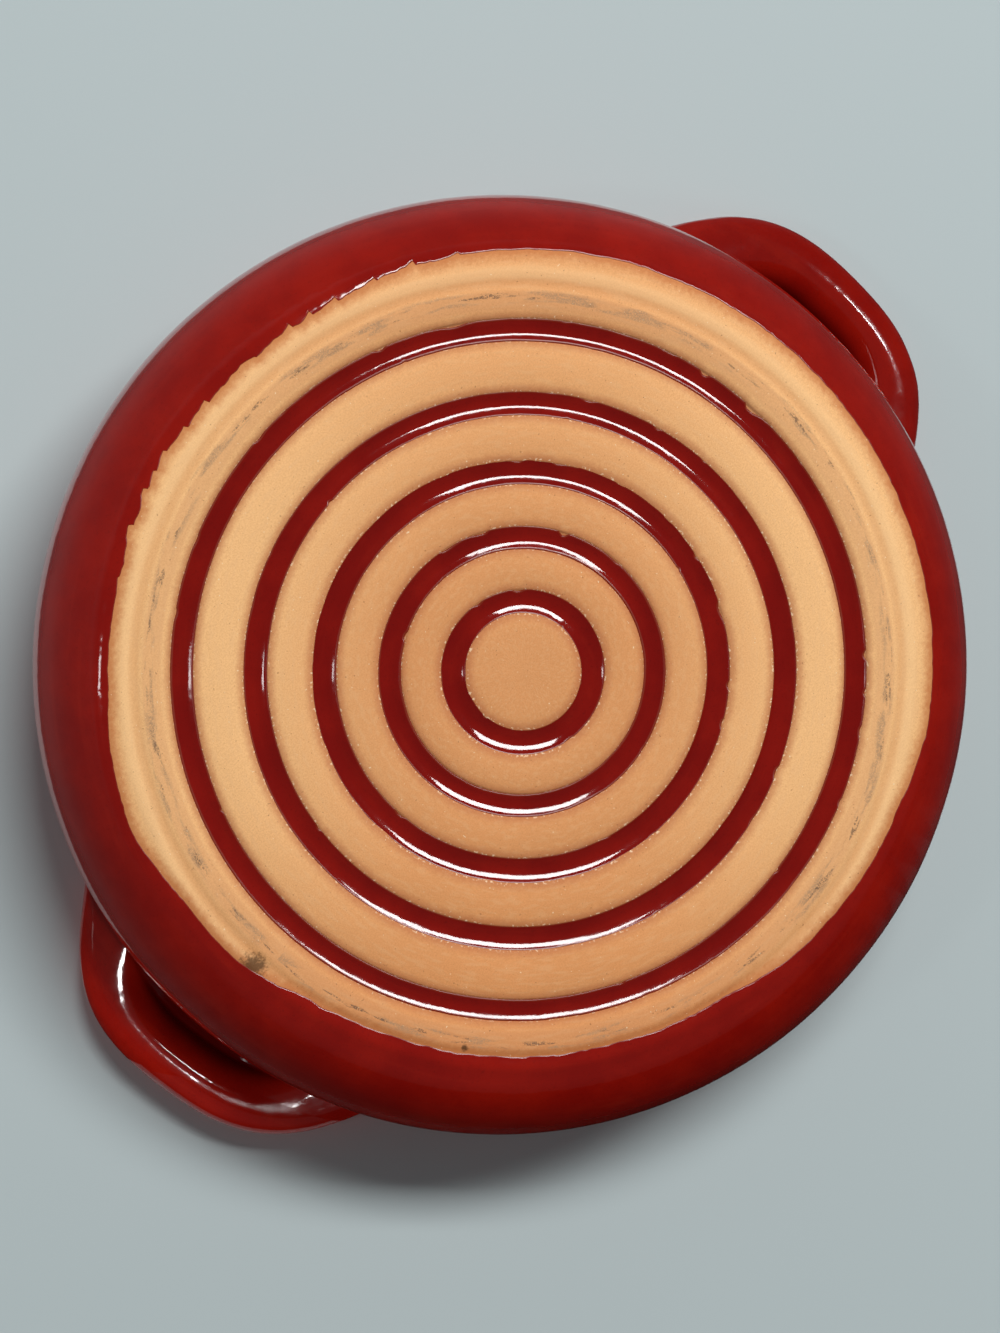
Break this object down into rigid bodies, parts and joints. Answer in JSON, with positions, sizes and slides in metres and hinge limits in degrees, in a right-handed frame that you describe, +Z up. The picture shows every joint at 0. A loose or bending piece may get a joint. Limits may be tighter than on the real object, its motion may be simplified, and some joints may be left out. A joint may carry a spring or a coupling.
{
  "type": "casserole dish",
  "caption": "Low round terracotta casserole dish with two ear handles, a red glaze inside and out, and a bare clay base with rings, glazed grooves and a foot ring.",
  "frame": {"origin": "centre of the foot ring, on the plane that the dish stands on", "axes": "+X from handle to handle, +Z up out of the open mouth"},
  "size_m": [0.3296, 0.28, 0.082],
  "materials": {
    "terracotta": "bare, matt and fine grained, a little sparkling, scuffed on the foot ring",
    "red_glaze": "deep red, glossy, slightly wavy"
  },
  "bodies": {
    "root": {"bowl": "terracotta", "handle_right": "red_glaze", "handle_left": "red_glaze", "outer_glaze": "red_glaze", "inner_glaze": "red_glaze", "groove_glaze_1": "red_glaze", "groove_glaze_2": "red_glaze", "groove_glaze_3": "red_glaze", "groove_glaze_4": "red_glaze", "groove_glaze_5": "red_glaze"}
  },
  "joints": []
}
